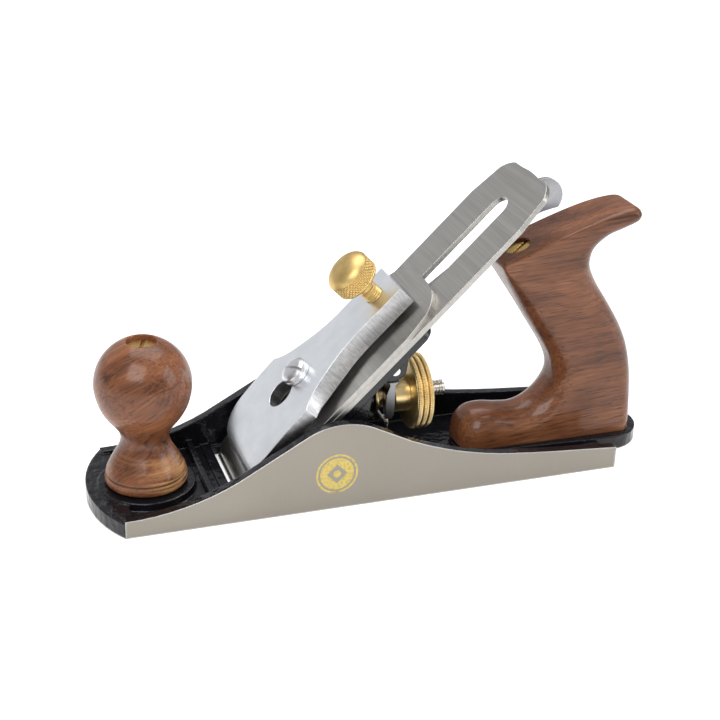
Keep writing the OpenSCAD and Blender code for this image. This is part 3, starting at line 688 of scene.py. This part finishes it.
def make_wheel():
    """Depth wheel: grooved hub and three finely knurled ridges."""
    low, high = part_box("depth_nut")
    radius = (high.z - low.z) / 2 / MM
    centre = (low + high) / 2
    columns, teeth, tooth_depth = 800, 100, 0.42
    bore, valley, hub_back = 3.56, radius - 1.5, 4.8
    ridges = [(12.3, 13.9), (14.9, 16.5), (17.5, 19.0)]

    def offset(turns, r, z):
        for start, end in ridges:
            if r > radius - 0.8 and start <= z <= end:
                return -tooth_depth * (0.5 + 0.5 * np.cos(turns * teeth)) ** 2
        return 0.0

    profile = [(bore, -hub_back), (7.2, -hub_back), (7.8, -4.5), (8, -4), (8, -3.4), (7.7, -3),
               (7.2, -2.8), (5.8, -2.8), (5.5, -2.5), (5.5, 3.9), (5.8, 4.2), (7.8, 4.2),
               (8.2, 4.4), (8.3, 4.8), (8.3, 11.0), (8.5, 11.2), (radius - 1.8, 11.6),
               (radius - 0.9, 11.8)]
    for start, end in ridges:
        profile += [(radius - 0.9, start - 0.25), (radius - 0.1, start), (radius, start + 0.25),
                    (radius, end - 0.25), (radius - 0.1, end), (radius - 0.9, end + 0.2)]
        if (start, end) != ridges[-1]:
            profile += [(valley, end + 0.35), (valley, end + 0.65)]
    profile += [(radius - 2.0, 19.3), (7.2, 19.3), (6.6, 19.1), (6.2, 18.6), (bore, 18.6)]
    verts, faces = lathe(profile, columns, offset)
    place = along((1, 0, 0), (low.x + hub_back * MM, centre.y, centre.z))
    new_piece("depth_wheel", moved(verts, place), bored(verts, faces, columns), wheel_brass,
              "depth_wheel", "depth_nut", 30)


def make_stud():
    """Stud for the wheel, threaded over its outer end."""
    low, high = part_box("depth_stud")
    length = (high.x - low.x) / MM
    radius = (high.z - low.z) / 2 / MM
    thread_start = 12.0
    thread = helix(1.4, 0.75, thread_start, length - 0.6)
    profile = [(0.02, 0), (radius, 0), (radius, thread_start - 0.2)]
    profile += evenly(thread_start, length - 0.8, 0.125, radius)
    profile += [(radius - 0.7, length - 0.1), (radius - 0.9, length), (0.02, length)]
    verts, faces = lathe(profile, 64, thread)
    place = along((1, 0, 0), (low.x, 0, (low.z + high.z) / 2))
    new_piece("threaded_stud", moved(verts, place), faces, bright_steel, "frog",
              "depth_stud", 40)


# ---------------------------------------------------------------- printed roundel

def flat_shape(name, outlines, y, thick, material, body):
    """Thin plates standing on a plane y = const, each a closed outline of (x, z) in metres."""
    verts, faces = [], []
    for outline in outlines:
        n, first = len(outline), len(verts)
        verts += [(x, y, z) for x, z in outline] + [(x, y - thick, z) for x, z in outline]
        faces += [tuple(range(first, first + n)),
                  tuple(range(first + 2 * n - 1, first + n - 1, -1))]
        faces += [(first + i, first + n + i, first + n + (i + 1) % n, first + (i + 1) % n)
                  for i in range(n)]
    new_piece(name, verts, faces, material, body)


def make_roundel():
    """Plain printed roundel on the near side: a ring round a disc, and a dot in its diamond."""
    low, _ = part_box("sole_casting")
    centre_x, centre_z, thick = -0.0281, 0.0166, 0.00002
    ring_inner, ring_outer, disc, diamond, dot = 0.0083, 0.0092, 0.0074, 0.0045, 0.0017

    def arc(radius, turns):
        return [(centre_x + radius * math.cos(t), centre_z + radius * math.sin(t)) for t in turns]

    outlines = []
    for k in range(12):
        turns = np.linspace(k * math.pi / 6, (k + 1) * math.pi / 6, 9)
        outlines.append(arc(ring_outer, turns) + arc(ring_inner, turns[::-1]))
    for k in range(4):
        start, end = k * math.pi / 2, (k + 1) * math.pi / 2
        outlines.append(arc(disc, np.linspace(start, end, 17)) + arc(diamond, (end, start)))
    outlines.append(arc(dot, np.linspace(0, FULL_TURN, 33)[:-1]))
    flat_shape("side_roundel", outlines, low.y, thick, gold_print, "body")


make_knob()
make_tote()
make_thumbscrew()
make_wheel()
make_stud()
make_roundel()


# ---------------------------------------------------------------- stage

def area_light(name, at, size, power):
    """Rectangular light aimed at the middle of the plane."""
    data = bpy.data.lights.new(name, "AREA")
    data.shape = "RECTANGLE"
    data.size, data.size_y = size
    data.energy = power
    light = new_object(name, data)
    light.location = at
    light.rotation_mode = "QUATERNION"
    light.rotation_quaternion = (Vector(at) - Vector((0, 0, 0.04))).to_track_quat("Z", "Y")


def make_stage():
    half = 3.0
    corners = [(-half, -half, 0), (half, -half, 0), (half, half, 0), (-half, half, 0)]
    floor = new_object("floor", raw_mesh("floor", corners, [(0, 1, 2, 3)]))
    look = Look("floor_paper")
    faint = look.noise(60, detail=2.0)
    floor.data.materials.append(look.done(
        Base_Color=look.ramp(faint, [(0.3, (0.86, 0.86, 0.855)), (0.7, (0.88, 0.88, 0.875))]),
        Roughness=0.85, Emission_Color=(1, 1, 1), Emission_Strength=0.3))
    world = bpy.data.worlds.new("studio")
    world.use_nodes = True
    sky = world.node_tree.nodes["Background"].inputs
    sky["Color"].default_value = (0.93, 0.95, 1.0, 1)
    sky["Strength"].default_value = 0.42
    bpy.context.scene.world = world
    area_light("key", (-0.55, -0.75, 1.05), (0.9, 0.9), 13)
    area_light("top", (0.15, 0.35, 1.25), (1.3, 1.0), 14)
    area_light("side", (1.0, -0.55, 0.55), (0.6, 0.8), 5)
    area_light("back", (-0.65, 1.3, 0.5), (1.4, 0.9), 1.4)


def make_camera():
    """Camera on the near side, ahead of the toe and above, rolled a little."""
    azimuth, elevation, roll = (math.radians(a) for a in (19.41, 25.42, 2.0))
    back = Vector((-math.sin(azimuth) * math.cos(elevation),
                   -math.cos(azimuth) * math.cos(elevation), math.sin(elevation)))
    level_right = (-back).cross(Vector((0, 0, 1))).normalized()
    level_up = level_right.cross(-back)
    right = level_right * math.cos(roll) + level_up * math.sin(roll)
    up = level_up * math.cos(roll) - level_right * math.sin(roll)
    data = bpy.data.cameras.new("camera")
    data.lens = 70.5
    data.clip_start, data.clip_end = 0.05, 20
    camera = new_object("camera", data)
    place = Matrix((right, up, back)).transposed().to_4x4()
    place.translation = Vector((-0.19019, -0.51563, 0.31184))
    camera.matrix_world = place
    bpy.context.scene.camera = camera


make_stage()
make_camera()
bpy.context.scene.view_settings.view_transform = "Standard"
